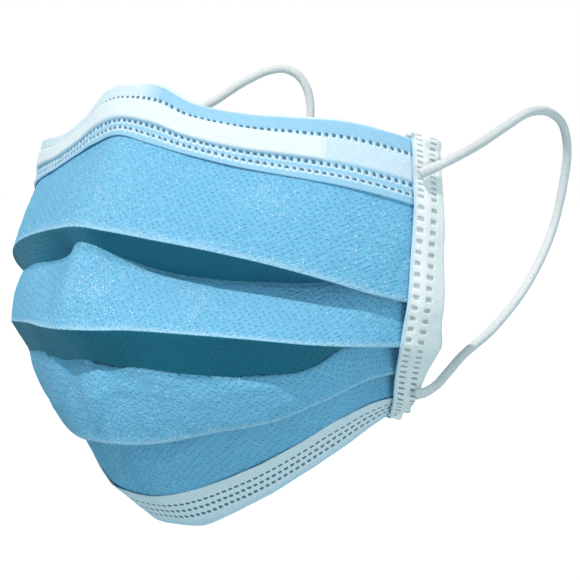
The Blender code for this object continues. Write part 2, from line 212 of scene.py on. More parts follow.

# Places with painted glints, painted highlights put on the bond points: leg, station, share of the leg,
# reach in both, strength
GLINTS = (
    (1, 0.03, 0.45, 0.16, 0.60, 0.65),
    (1, 0.45, 0.30, 0.08, 0.22, 0.85),
    (1, 0.12, 0.95, 0.45, 0.06, 0.80),
    (3, 0.06, 0.50, 0.10, 0.50, 0.80),
    (3, 0.34, 0.60, 0.03, 0.45, 1.00),
    (3, 0.20, 0.96, 0.30, 0.06, 0.90),
    (5, 0.10, 0.60, 0.25, 0.60, 0.12),
    (5, 0.20, 0.97, 0.50, 0.06, 0.70),
    (1, 0.60, 0.97, 0.30, 0.04, 0.60),
    (1, 0.80, 0.50, 0.12, 0.40, 0.25),
)
CALM = 0.97              # how few points glint elsewhere

# Camera
AZIMUTH = math.radians(46)
ELEVATION = math.radians(3.5)
DISTANCE = 0.65
FOCAL_PIXELS = 2614.0
PICTURE = 580
AIM = Vector((0.0, 0.0334, -0.0447))
ASIDE = 0.0139           # how far the aim is moved to the right, for the photo's framing

# Stage
FLOOR_LEVEL = -0.16
KEY = {"strength": 2.5, "azimuth": 8, "elevation": 53, "softness": 1.2, "colour": (1.0, 0.93, 0.90)}
LOW = {"strength": 0.75, "azimuth": 70, "elevation": -8, "softness": 24, "colour": (0.92, 0.98, 1.0)}
FILL_COLOUR = (0.66, 0.94, 1.0, 1.0)
FILL_ABOVE = 0.52
FILL_BELOW = 0.58


def at_station(shares, s):
    """The share at station s, on a smooth curve through the table's values."""
    s = min(abs(s), 1.0)
    last = len(STATIONS) - 2
    i = min(last, max(0, int(np.searchsorted(STATIONS, s, side="right")) - 1))

    def slope(k):
        low = max(0, k - 1)
        high = min(len(STATIONS) - 1, k + 1)
        return (shares[high] - shares[low]) / (STATIONS[high] - STATIONS[low])

    width = STATIONS[i + 1] - STATIONS[i]
    t = (s - STATIONS[i]) / width
    start_slope = 0.0 if i == 0 else slope(i)
    return ((1 + 2 * t) * (1 - t) ** 2 * shares[i] + t * (1 - t) ** 2 * width * start_slope
            + t * t * (3 - 2 * t) * shares[i + 1] - t * t * (1 - t) * width * slope(i + 1))


def plan_point(s, half, depth, back, belly, soft):
    """A point of a line seen from above, s running from -1 to 1 and soft rounding the middle."""
    turn = s * math.pi / 2
    across = half * ((1 - belly) * s + belly * math.sin(turn))
    ease = (math.hypot(s, soft) - soft) / (math.hypot(1.0, soft) - soft)
    inward = (1 - belly) * ease + belly * (1 - math.cos(turn))
    return np.array((across, -depth + (depth + back) * inward))


def plan_sizes(name):
    line = LINES[name]
    return line["reach"] * HALF_SPAN, line["depth"] * DEPTH, line["back"] * DEPTH, line["belly"]


def frame_at(s):
    """Base point, outward direction and sideways direction of the upright section at s."""
    sizes = plan_sizes("fold_1")
    step = 0.005
    along = plan_point(s + step, *sizes, FRAME_ROUND) - plan_point(s - step, *sizes, FRAME_ROUND)
    along /= np.linalg.norm(along)
    return plan_point(s, *sizes, RIDGE_ROUND), np.array((along[1], -along[0])), along


def smooth_step(t):
    t = min(1.0, max(0.0, t))
    return t * t * (3 - 2 * t)


def eased(t):
    """smooth_step for whole arrays."""
    t = np.clip(t, 0.0, 1.0)
    return t * t * (3 - 2 * t)


def line_point(name, s):
    """Outward offset, height and sideways drift of a line in the section at s."""
    line = LINES[name]
    place = plan_point(s, *plan_sizes(name), CRISP_RIDGE.get(name, RIDGE_ROUND))
    base, out, along = frame_at(s)
    layers = {"fold_2": 1, "fold_3": 2, "chin_hem": 3, "bottom": 3}.get(name, 0)
    closed = smooth_step((abs(s) - 0.5) / 0.5)
    offset = (place - base) @ out - 3 * CAD_FOLD * layers * closed
    offset += FAR_SWELL.get(name, 0.0) * smooth_step(-s / 0.16) * smooth_step((0.75 + s) / 0.4)
    sag = RIGHT_SAG * SAG_SHARES.get(name, 0.0) * smooth_step(-s / 0.4)
    height = -HEIGHT * at_station(line["drops"], s) - sag
    return np.array((offset, height)), (place - base) @ along


def in_space(s, point):
    """World place of a section point, before the shift to the origin."""
    base, out, along = frame_at(s)
    ground = base + point[0] * out + point[2] * along
    return (ground[0], ground[1], point[1])


def slant(name, s):
    """How squarely the section at s cuts a line: 1 is square across."""
    step = 0.005
    points = []
    for near in (s - step, s + step):
        point, drift = line_point(name, near)
        points.append(np.array(in_space(near, (point[0], point[1], drift))[:2]))
    run = points[1] - points[0]
    return abs(run @ frame_at(s)[2]) / np.linalg.norm(run)


def turned(v):
    """A direction of the section turned a quarter to the left."""
    return np.array((-v[1], v[0]))


def leg_direction(first, second):
    """Direction of the belt from one roller to the next. A roller is (centre, signed radius)."""
    gap = second[0] - first[0]
    rise = second[1] - first[1]
    run = math.sqrt(max(gap @ gap - rise * rise, 1e-12))
    angle = math.atan2(gap[1], gap[0]) - math.atan2(rise, run)
    return np.array((math.cos(angle), math.sin(angle)))


def rollers_at(s, radius=FOLD_RADIUS):
    """Rollers of the section at s from the top edge to the bottom edge, with their sideways drift."""
    rollers = []
    for name in ("top", "hem"):
        point, drift = line_point(name, s)
        rollers.append((point, 0.0, drift))
    for name in FOLDS:
        point, drift = line_point(name, s)
        centre = point - np.array((radius, 0.0))
        up = rollers[-1][0] - point
        up /= np.linalg.norm(up)
        closed = FAR_CLOSING.get(name, 0.0) * smooth_step((-s - 0.06) / 0.20)
        closed *= smooth_step((0.9 + s) / 0.3)
        inset = 2 * radius + PLEAT * at_station(PLEATS[name]["inset"], s) * (1.0 - closed)
        rise = PLEAT * (at_station(PLEATS[name]["rise"], s) - FAR_DROP * closed)
        rollers.append((centre, -radius, drift))
        rollers.append((centre + inset * turned(up) + rise * up, radius, drift))
    for name in ("chin_hem", "bottom"):
        point, drift = line_point(name, s)
        rollers.append((point, 0.0, drift))
    return rollers


def seat():
    """The point of the top hem's inner face that sits on the nose."""
    top, _ = line_point("top", 0.0)
    hem, _ = line_point("hem", 0.0)
    up = (top - hem) / np.linalg.norm(top - hem)
    place = top - 0.4 * (top - hem) + turned(up) * (1.5 * CAD_CLOTH + CAD_CLEAR)
    return np.array(in_space(0.0, (place[0], place[1], 0.0)))


def section(s):
    """Points down the cloth in the section at s: outward, up, sideways, leg number, share of the leg."""
    rollers = rollers_at(s)
    ways = [leg_direction(a, b) for a, b in zip(rollers, rollers[1:])]
    points = []
    for i, (centre, radius, drift) in enumerate(rollers):
        if radius:
            angle = math.atan2(ways[i - 1][1], ways[i - 1][0])
            side = math.copysign(1.0, radius)
            leave = math.atan2(ways[i][1], ways[i][0])
            turn = (side * (leave - angle) + math.pi / 2) % (2 * math.pi) - math.pi / 2
            corner = turned(ways[i - 1]) + turned(ways[i])
            corner = centre - radius * corner / (1 + ways[i - 1] @ ways[i])
            for k in range(ROUND_STEPS + 1):
                now = angle + side * turn * k / ROUND_STEPS
                place = centre - radius * np.array((-math.sin(now), math.cos(now)))
                before = k < ROUND_STEPS / 2
                if turn < SLIGHT_TURN:
                    way = ways[i - 1] if before else ways[i]
                    place = corner + way * CORNER_STEP * (k - ROUND_STEPS / 2)
                points.append((place[0], place[1], drift, i - 1 if before else i, 1.0 if before else 0.0))
        else:
            points.append((centre[0], centre[1], drift, min(i, len(rollers) - 2), float(i > 1)))
        if i + 1 < len(rollers):
            steps = RETURN_STEPS if radius < 0 else PANEL_STEPS
            start = centre - radius * turned(ways[i])
            end = rollers[i + 1][0] - rollers[i + 1][1] * turned(ways[i])
            for k in range(1, steps):
                t = k / steps
                place = start + (end - start) * t
                points.append((place[0], place[1], drift + (rollers[i + 1][2] - drift) * t, i, t))
    return points


def columns(first, last, count, crowding=0.07):
    """Stations from first to last, closer together at the middle and at the ends."""
    spread = np.linspace(-1.0, 1.0, count + 1)
    bent = spread - crowding * np.sin(2 * math.pi * spread)
    return (first + last) / 2 + (last - first) / 2 * bent


def spaced(path, count, measured=2):
    """The same path with evenly spaced points, its length taken in its first measured axes."""
    steps = np.linalg.norm(np.diff(path[:, :measured], axis=0), axis=1)
    reach = np.concatenate(([0.0], np.cumsum(steps)))
    wanted = np.linspace(0.0, reach[-1], count)
    return np.stack([np.interp(wanted, reach, path[:, k]) for k in range(path.shape[1])], axis=1)


def stood_off(path, distance):
    """The path moved sideways in its section, to its left, with its corners kept sharp."""
    path = np.array(path)
    steps = np.diff(path[:, :2], axis=0)
    steps /= np.linalg.norm(steps, axis=1)[:, None]
    before = np.vstack((steps[:1], steps))
    after = np.vstack((steps, steps[-1:]))
    moved = path.copy()
    for k in range(len(path)):
        mitre = turned(before[k]) + turned(after[k])
        mitre /= 1.0 + before[k] @ after[k]
        moved[k, :2] += distance * mitre
    return moved


def arc_lengths(grid, axis):
    """Length along one axis of a grid of points, from its first row."""
    steps = np.linalg.norm(np.diff(grid, axis=axis), axis=2)
    zero = np.zeros_like(np.take(steps, [0], axis=axis))
    return np.concatenate((zero, np.cumsum(steps, axis=axis)), axis=axis)


def normals_of(grid):
    """Unit normals of a grid of points."""
    across = np.gradient(grid, axis=0)
    down = np.gradient(grid, axis=1)
    normals = np.cross(down, across)
    return normals / np.maximum(np.linalg.norm(normals, axis=2), 1e-12)[:, :, None]


def noise_field(x, y, size, seed):
    """Smooth noise from -1 to 1 over arrays of coordinates in metres."""
    flat = [noise.noise(Vector((a / size, b / size, seed))) for a, b in zip(x.ravel(), y.ravel())]
    return np.array(flat).reshape(x.shape)


def ripples(across, down, layers):
    """Layers of smooth noise added up, each with its height, size and seed."""
    return sum(height * noise_field(across, down, size, seed) for height, size, seed in layers)


def grid_piece(name, grid, across, down, finishes, wall, marks=None, flip=False):
    """A piece of cloth from a grid of points, with metric UVs, marks on its points and a thickness."""
    rows, width = grid.shape[:2]
    index = np.arange(rows * width).reshape(rows, width)
    corners = [index[:-1, :-1], index[:-1, 1:], index[1:, 1:], index[1:, :-1]]
    if flip:
        corners.reverse()
    faces = np.stack(corners, axis=-1).reshape(-1, 4)
    mesh = bpy.data.meshes.new(name)
    mesh.from_pydata(grid.reshape(-1, 3).tolist(), [], faces.tolist())
    mesh.shade_smooth()
    layer = mesh.uv_layers.new(name="cloth")
    coordinates = np.stack((across.ravel(), down.ravel()), axis=1)[faces.ravel()]
    layer.data.foreach_set("uv", coordinates.astype(np.float32).ravel())
    for mark, values in (marks or {}).items():
        attribute = mesh.attributes.new(mark, "FLOAT", "POINT")
        attribute.data.foreach_set("value", values.astype(np.float32).ravel())
    piece = bpy.data.objects.new(name, mesh)
    for finish in finishes:
        mesh.materials.append(finish)
    shell = piece.modifiers.new("Wall", "SOLIDIFY")
    shell.thickness = wall
    shell.offset = 0.0
    shell.material_offset = len(finishes) - 1
    bpy.context.scene.collection.objects.link(piece)
    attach(piece, "root")
    return piece


# Camera and cords


def add_camera():
    """The photo's angle: the mask three quarters from its left, from just above its middle."""
    data = bpy.data.cameras.new("camera")
    data.sensor_width = 36.0
    data.lens = data.sensor_width * FOCAL_PIXELS / PICTURE
    camera = bpy.data.objects.new("camera", data)
    right = Vector((math.cos(AZIMUTH), math.sin(AZIMUTH), 0.0))
    back = Vector((math.sin(AZIMUTH) * math.cos(ELEVATION), -math.cos(AZIMUTH) * math.cos(ELEVATION),
                   math.sin(ELEVATION)))
    camera.location = AIM + back * DISTANCE
    gaze = AIM + right * ASIDE - camera.location
    camera.rotation_euler = gaze.to_track_quat("-Z", "Y").to_euler()
    bpy.context.scene.collection.objects.link(camera)
    bpy.context.scene.camera = camera


def smooth_route(points, count):
    """Evenly spaced points on a smooth curve through the route's own points."""
    points = np.array(points)
    reach = np.concatenate(([0.0], np.cumsum(np.linalg.norm(np.diff(points, axis=0), axis=1))))
    slopes = np.gradient(points, reach, axis=0)
    fine = []
    for i in range(len(points) - 1):
        width = reach[i + 1] - reach[i]
        for t in np.linspace(0.0, 1.0, 40, endpoint=False):
            fine.append((1 + 2 * t) * (1 - t) ** 2 * points[i] + t * (1 - t) ** 2 * width * slopes[i]
                        + t * t * (3 - 2 * t) * points[i + 1]
                        - t * t * (1 - t) * width * slopes[i + 1])
    fine.append(points[-1])
    return spaced(np.array(fine), count, measured=3)


def cord_frames(path):
    """Directions, and a side direction for each that turns as little as it can."""
    ways = np.gradient(path, axis=0)
    ways /= np.linalg.norm(ways, axis=1)[:, None]
    side = np.cross(ways[0], (0.0, 0.0, 1.0))
    sides = []
    for way in ways:
        side = side - (side @ way) * way
        side /= np.linalg.norm(side)
        sides.append(side)
    return ways, np.array(sides)


def build_loop(name, route, finish):
    """A round knitted elastic, pressed a little flat where its ends are welded to the tape."""
    path = smooth_route(route, CORD_RINGS)
    ways, sides = cord_frames(path)
    lengths = np.concatenate(([0.0], np.cumsum(np.linalg.norm(np.diff(path, axis=0), axis=1))))
    total = lengths[-1]
    turns = np.linspace(0.0, 2 * math.pi, CORD_SIDES + 1)
    rings = []
    outward = np.array((*frame_at(math.copysign(1.0, path[0][0]))[1], 0.0))
    for k, way in enumerate(ways):
        other = np.cross(way, sides[k])
        slants = np.cos(8 * turns + lengths[k] / RIB_STEPS[0])
        slants *= np.cos(4 * turns - lengths[k] / RIB_STEPS[1])
        swell = 1.0 + SWELL_SHARE * math.sin(lengths[k] / SWELL_STEP)
        radius = CORD_DIAMETER / 2 * (1.0 + RIB_SHARE * slants) * swell
        ring = radius[:, None] * (np.cos(turns)[:, None] * sides[k] + np.sin(turns)[:, None] * other)
        from_end = min(lengths[k], total - lengths[k])
        pressed = PRESSED * (1.0 - smooth_step((from_end - PRESSED_LENGTH) / PRESSED_EASE))
        ring = ring * (1.0 + PRESSED_SPREAD * pressed) - pressed * (ring @ outward)[:, None] * outward
        rings.append(path[k] + ring - pressed * CORD_DIAMETER / 2 * PRESSED_SINK * outward)
    grid = np.array(rings)
    across = np.tile(turns * CORD_DIAMETER / 2, (CORD_RINGS, 1))
    down = np.tile(lengths[:, None], (1, CORD_SIDES + 1))
    faces = []
    for i in range(CORD_RINGS - 1):
        for j in range(CORD_SIDES):
            a = i * CORD_SIDES + j
            b = i * CORD_SIDES + (j + 1) % CORD_SIDES
            faces.append((a, b, b + CORD_SIDES, a + CORD_SIDES))
    last = (CORD_RINGS - 1) * CORD_SIDES
    faces.append(tuple(reversed(range(CORD_SIDES))))
    faces.append(tuple(last + j for j in range(CORD_SIDES)))
    mesh = bpy.data.meshes.new(name)
    mesh.from_pydata(grid[:, :-1].reshape(-1, 3).tolist(), [], faces)
    mesh.shade_smooth()
    layer = mesh.uv_layers.new(name="cloth")
    values = []
    for i in range(CORD_RINGS - 1):
        for j in range(CORD_SIDES):
            values += [across[i, j], down[i, j], across[i, j + 1], down[i, j + 1],
                       across[i + 1, j + 1], down[i + 1, j + 1], across[i + 1, j], down[i + 1, j]]
    values += [0.0] * (4 * CORD_SIDES)
    layer.data.foreach_set("uv", values)
    mesh.materials.append(finish)
    cord = bpy.data.objects.new(name, mesh)
    bpy.context.scene.collection.objects.link(cord)
    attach(cord, "root")
    return cord


# Finishes


class Finish:
    """A material under construction: its nodes, its shader and short calls that add to them."""

    def __init__(self, name, roughness, sheen=0.0):
        self.material = bpy.data.materials.new(name)
        self.material.use_nodes = True
        self.nodes = self.material.node_tree.nodes
        self.links = self.material.node_tree.links
        self.shader = self.nodes["Principled BSDF"]
        self.shader.inputs["Roughness"].default_value = roughness
        self.shader.inputs["Sheen Weight"].default_value = sheen
        self.shader.inputs["Sheen Roughness"].default_value = 0.7
        self.shader.inputs["Specular IOR Level"].default_value = 0.18
        self.uv = self.nodes.new("ShaderNodeTexCoord").outputs["UV"]

    def put(self, socket, value):
        if isinstance(value, bpy.types.NodeSocket):
            self.links.new(value, socket)
        else:
            socket.default_value = value

    def math(self, operation, *values):
        node = self.nodes.new("ShaderNodeMath")
        node.operation = operation
        for socket, value in zip(node.inputs, values):
            self.put(socket, value)
        return node.outputs[0]

    def mapped(self, scale, turn=0.0):
        """UV coordinates in units of scale, turned by an angle in degrees."""
        turning = self.nodes.new("ShaderNodeMapping")
        turning.inputs["Rotation"].default_value = (0.0, 0.0, math.radians(turn))
        self.put(turning.inputs["Vector"], self.uv)
        scaling = self.nodes.new("ShaderNodeMapping")
        scaling.inputs["Scale"].default_value = (1 / scale[0], 1 / scale[1], 1.0)
        self.put(scaling.inputs["Vector"], turning.outputs[0])
        return scaling.outputs[0]

    def noise(self, scale, turn=0.0, detail=2.0):
        node = self.nodes.new("ShaderNodeTexNoise")
        node.inputs["Scale"].default_value = 1.0
        node.inputs["Detail"].default_value = detail
        self.put(node.inputs["Vector"], self.mapped(scale, turn))
        return node.outputs["Fac"]

    def ramp(self, value, low, high, start=0.0, end=1.0):
        node = self.nodes.new("ShaderNodeMapRange")
        node.interpolation_type = "SMOOTHSTEP"
        for name, given in (("Value", value), ("From Min", low), ("From Max", high),
                            ("To Min", start), ("To Max", end)):
            self.put(node.inputs[name], given)
        return node.outputs[0]

    def bond_points(self, pitch, size, turn=45.0):
        """Points near the crossings of a slanted grid, and a number from 0 to 1 for each of them."""
        cells = self.nodes.new("ShaderNodeTexVoronoi")
        cells.voronoi_dimensions = "2D"
        cells.inputs["Scale"].default_value = 1.0
        cells.inputs["Randomness"].default_value = 0.35
        self.put(cells.inputs["Vector"], self.mapped((pitch, pitch), turn))
        split = self.nodes.new("ShaderNodeSeparateColor")
        self.put(split.inputs[0], cells.outputs["Color"])
        return self.ramp(cells.outputs["Distance"], size * 0.6, size * 1.4, 1.0, 0.0), split.outputs[0]

    def mark(self, name):
        node = self.nodes.new("ShaderNodeAttribute")
        node.attribute_name = name
        return node.outputs["Fac"]

    def mix(self, factor, first, second):
        node = self.nodes.new("ShaderNodeMix")
        node.data_type = "RGBA"
        self.put(node.inputs["Factor"], factor)
        self.put(node.inputs["A"], first)
        self.put(node.inputs["B"], second)
        return node.outputs["Result"]

    def colour(self, value):
        self.put(self.shader.inputs["Base Color"], value)

    def bump(self, height, distance, strength=1.0):
        node = self.nodes.new("ShaderNodeBump")
        node.inputs["Distance"].default_value = distance
        node.inputs["Strength"].default_value = strength
        self.put(node.inputs["Height"], height)
        self.put(self.shader.inputs["Normal"], node.outputs[0])


BLUE = (0.170, 0.490, 0.75, 1.0)
BLUE_LIGHT = (0.225, 0.555, 0.81, 1.0)
BLUE_DEEP = (0.115, 0.435, 0.69, 1.0)
# Painted shade: the colour put on the cloth inside the pleats and in the shadow under each fold
BLUE_PAINTED_SHADE = (0.002, 0.155, 0.24, 1.0)
# Colour of the painted highlights: glints on bond points and light along fold edges
PAINTED_GLINT = (0.80, 0.93, 1.0, 1.0)
PALE = (0.42, 0.70, 0.93, 1.0)
WHITE = (0.86, 0.88, 0.89, 1.0)
WHITE_SHADE = (0.76, 0.79, 0.81, 1.0)
HEM_SHADE = (0.74, 0.80, 0.84, 1.0)
HEM_WHITE = (0.90, 0.93, 0.95, 1.0)
# Colour of the painted highlight beside each weld dot
DOT_HIGHLIGHT_WHITE = (0.88, 0.94, 0.97, 1.0)
TAPE_SHADE = (0.84, 0.84, 0.84, 1.0)
TAPE_WHITE = (0.95, 0.94, 0.94, 1.0)
KNIT_SHADE = (0.66, 0.65, 0.65, 1.0)
KNIT_WHITE = (0.80, 0.78, 0.78, 1.0)
FLOOR_WHITE = (0.95, 0.95, 0.95, 1.0)
WELD = (0.02, 0.13, 0.21, 1.0)
WINDOW = (0.20, 0.27, 0.29, 1.0)

# Lowest and highest sums of the fibres' noise, for blue and for white cloth
BLUE_GRAIN = (0.95, 1.75)
WHITE_GRAIN = (0.9, 1.8)
BOND_PITCH = 0.0013


def fibres(finish):
    """Crossed fibres of spunbond cloth, as a height from 0 to 1."""
    one = finish.noise((0.0022, 0.00022), 35.0)
    two = finish.noise((0.0022, 0.00022), -40.0)
    three = finish.noise((0.0004, 0.0004), 0.0)
    both = finish.math("ADD", one, two)
    return finish.math("MULTIPLY_ADD", three, 0.8, both)


def blue_cloth():
    """The outer layer: blue spunbond with bond points, some of which carry painted glints. Painted shade
    makes it deeper inside the pleats.
    """
    finish = Finish("blue_cloth", 0.6, 0.05)
    grain = fibres(finish)
    streaks = finish.math("ADD", finish.noise((0.0045, 0.0007), 28.0),
                          finish.noise((0.0038, 0.0008), -22.0))
    bonds, chance = finish.bond_points(BOND_PITCH, 0.16)
    fine, fine_chance = finish.bond_points(0.0008, 0.20, 20.0)
    cloud = finish.noise((0.016, 0.012), 20.0)
    base = finish.mix(finish.ramp(grain, *BLUE_GRAIN), BLUE_DEEP, BLUE_LIGHT)
    base = finish.mix(finish.ramp(cloud, 0.35, 0.7, 0.0, 0.5), base, BLUE)
    base = finish.mix(finish.ramp(streaks, 0.75, 1.3, 0.0, 0.45), base, BLUE_LIGHT)
    base = finish.mix(finish.math("MULTIPLY", bonds, 0.35), base, BLUE_DEEP)
    # Painted shade inside the pleats and painted shadow under each fold, from the inside mark
    base = finish.mix(finish.mark("inside"), base, BLUE_PAINTED_SHADE)
    # Painted highlights: glints on some bond points, more at the places of the glint table, and light
    # along the fold edges
    large = finish.math("MULTIPLY", bonds, finish.ramp(chance, finish.mark("calm"), 1.0, 0.0, 0.9))
    small = finish.math("MULTIPLY", fine, finish.ramp(fine_chance, finish.mark("calm"), 1.0, 0.0, 0.6))
    painted_highlight = finish.math("MAXIMUM", large, finish.math("MAXIMUM", small, finish.mark("painted_fold_highlight")))
    finish.colour(finish.mix(painted_highlight, base, PAINTED_GLINT))
    height = finish.math("MULTIPLY_ADD", streaks, 2.0, grain)
    finish.bump(finish.math("MULTIPLY_ADD", bonds, -1.2, height), 0.00016)
    return finish.material


def white_cloth():
    """The inner layer, against the face."""
    finish = Finish("white_cloth", 0.75, 0.1)
    grain = fibres(finish)
    bonds, _ = finish.bond_points(BOND_PITCH, 0.2)
    finish.colour(finish.mix(finish.ramp(grain, *WHITE_GRAIN), WHITE_SHADE, WHITE))
    finish.bump(finish.math("MULTIPLY_ADD", bonds, -0.5, grain), 0.00010)
    return finish.material


def hem_cloth(name, blue):
    """Cloth of the hems: blue that turns white where the mark says so, with a painted highlight by the
    nose on the top hem, darker in the weld dots and with a painted highlight beside each of them.
    """
    finish = Finish(name, 0.6, 0.1)
    grain = fibres(finish)
    base = finish.mix(finish.ramp(grain, *BLUE_GRAIN), BLUE, blue)
    white = finish.mix(finish.ramp(grain, *WHITE_GRAIN), HEM_SHADE, HEM_WHITE)
    # White cloth, and on the top hem by the nose a painted highlight
    base = finish.mix(finish.mark("white"), base, white)
    # Painted highlight beside each weld dot
    base = finish.mix(finish.ramp(finish.mark("painted_dot_highlight"), 0.2, 0.9, 0.0, 0.55), base, DOT_HIGHLIGHT_WHITE)
    base = finish.mix(finish.ramp(finish.mark("weld"), 0.25, 0.75, 0.0, 0.9), base, WELD)
    finish.colour(base)
    finish.bump(grain, 0.00010)
    return finish.material


def tape_cloth():
    """White tape: blue shows through its front edge, and its weld windows are greyer."""
    finish = Finish("tape_cloth", 0.6, 0.1)
    grain = fibres(finish)
    base = finish.mix(finish.ramp(grain, *WHITE_GRAIN), TAPE_SHADE, TAPE_WHITE)
    base = finish.mix(finish.mark("blue"), base, PALE)
    window = finish.ramp(finish.mark("weld"), 0.25, 0.8, 0.0, 0.9)
    base = finish.mix(finish.math("MULTIPLY", window, finish.mark("deep")), base, WINDOW)
    finish.colour(base)
    finish.bump(grain, 0.00010)
    return finish.material


def elastic():
    """Knitted elastic, its ribs slanting both ways."""
    finish = Finish("elastic", 0.75, 0.25)
    one = finish.noise((0.0016, 0.0003), 30.0)
    two = finish.noise((0.0016, 0.0003), -30.0)
    grain = finish.math("ADD", one, two)
    finish.colour(finish.mix(finish.ramp(grain, 0.7, 1.3), KNIT_SHADE, KNIT_WHITE))
    finish.bump(grain, 0.00007)
    return finish.material


# Pieces


def body_grid():
    """The body's points before wrinkles, with the station, leg and share of the leg at each."""
    stations = columns(-1.0, 1.0, BODY_COLUMNS)
    shift = seat()
    places = []
    tags = []
    for s in stations:
        points = section(s)
        places.append([np.array(in_space(s, p)) - shift for p in points])
        tags.append([(s, p[3], p[4]) for p in points])
    return np.array(places), np.array(tags)


def crease_heights(across, down, tags):
    """How far the named creases stand off the cloth."""
    s, leg, share = tags[:, :, 0], tags[:, :, 1], tags[:, :, 2]
    total = np.zeros_like(across)
    for on_leg, s_from, share_from, s_to, share_to, height, width in CREASES:
        ends = []
        for station, level in ((s_from, share_from), (s_to, share_to)):
            far = np.abs(s - station) + np.abs(share - level) + 10.0 * (leg != on_leg)
            nearest = np.unravel_index(np.argmin(far), far.shape)
            ends.append(np.array((across[nearest], down[nearest])))
        run = ends[1] - ends[0]
        gap = np.stack((across - ends[0][0], down - ends[0][1]), axis=-1)
        along = np.clip(gap @ run / (run @ run), 0.0, 1.0)
        distance = np.linalg.norm(gap - along[..., None] * run, axis=-1)
        fade = np.sin(math.pi * (0.15 + 0.7 * along))
        total += np.where(leg == on_leg, height * fade * np.exp(-distance / width), 0.0)
    return total


def wrinkles(across, down, tags):
    """How far the cloth stands off its plain form: bulging panels, soft waves, crumples and creases."""
    s, leg, share = tags[:, :, 0], tags[:, :, 1], tags[:, :, 2]
    slack = 1.0 - HELD * eased((np.abs(s) - HELD_FROM) / HELD_OVER)
    ends = eased(share / LEG_EASE) * eased((1.0 - share) / LEG_EASE)
    panel = np.isin(leg, PANEL_LEGS).astype(float)
    rough = np.ones_like(leg)
    for number, times in ROUGH_LEGS.items():
        rough[leg == number] = times
    creased = ripples(across, down, WAVES) + crease_heights(across, down, tags)
    stand = panel * (PANEL_BULGE * np.sin(math.pi * share) + creased * ends)
    crumpled = rough * ripples(across, down, CRUMPLES)
    stand += crumpled * (panel + RETURN_CRUMPLES * (1.0 - panel)) * ends
    return np.where(np.isin(leg, HEM_LEGS), 0.0, slack * stand)


def calm_of(tags):
    """1 where no painted glint is put on a bond point, less where painted highlights are wanted: the
    ridge, fold edges and patches.
    """
    s, leg, share = tags[:, :, 0], tags[:, :, 1], tags[:, :, 2]
    calm = np.full(s.shape, CALM)
    for on_leg, station, level, width, height, strength in GLINTS:
        near = np.exp(-((s - station) / width) ** 2 - ((share - level) / height) ** 2)
        calm -= np.where(leg == on_leg, near * strength, 0.0)
    return np.where(np.isin(leg, RETURN_LEGS), 1.0, np.clip(calm, 0.0, 1.0))


def painted_pleat_shade_of(tags):
    """How much painted shade darkens the cloth: 1 on the cloth folded inside the pleats, and a painted
    shadow fading down the top of the panel below.
    """
    s, leg, share = tags[:, :, 0], tags[:, :, 1], tags[:, :, 2]
    inner = np.isin(leg, RETURN_LEGS) * 1.0
    top = np.isin(leg, LOWER_PANEL_LEGS) * 0.35 * eased((0.10 - share) / 0.06)
    far = 0.88 + 0.12 * eased((s + 0.05) / 0.15)
    return np.maximum(inner, top) * far


def painted_fold_highlight_of(tags):
    """Painted highlight: paler along the outer edge of each fold, where the fold catches the light."""
    leg, share = tags[:, :, 1], tags[:, :, 2]
    return np.where(np.isin(leg, FOLDED_LEGS), 0.28 * eased((share - 0.955) / 0.035), 0.0)


def build_body(finishes):
    grid, tags = body_grid()
    middle = BODY_COLUMNS // 2
    across = arc_lengths(grid, 0)
    across = across - across[middle]
    down = arc_lengths(grid, 1)
    grid = grid + normals_of(grid) * wrinkles(across, down, tags)[:, :, None]
    # Marks of painted light: inside is painted shade in and under the pleats, calm leaves painted glints
    # on bond points, and the fold mark is a painted highlight on fold edges
    marks = {"calm": calm_of(tags), "inside": painted_pleat_shade_of(tags), "painted_fold_highlight": painted_fold_highlight_of(tags)}
    body = grid_piece("outer_cloth", grid, across, down, finishes, CLOTH, marks)
    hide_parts("mask_body")
    return body


def spots(across, rows, heights, size, pitch):
    """Weld dots in rows: 1 at their middles and 0 between them."""
    total = np.zeros_like(across)
    for k, level in enumerate(rows):
        slide = 0.5 * (k % 2)
        gap = (across / pitch + slide - np.round(across / pitch + slide)) * pitch
        lift = heights - level
        total = np.maximum(total, eased(1.5 - ((gap / size[0]) ** 4 + (lift / size[1]) ** 4)))
    return total


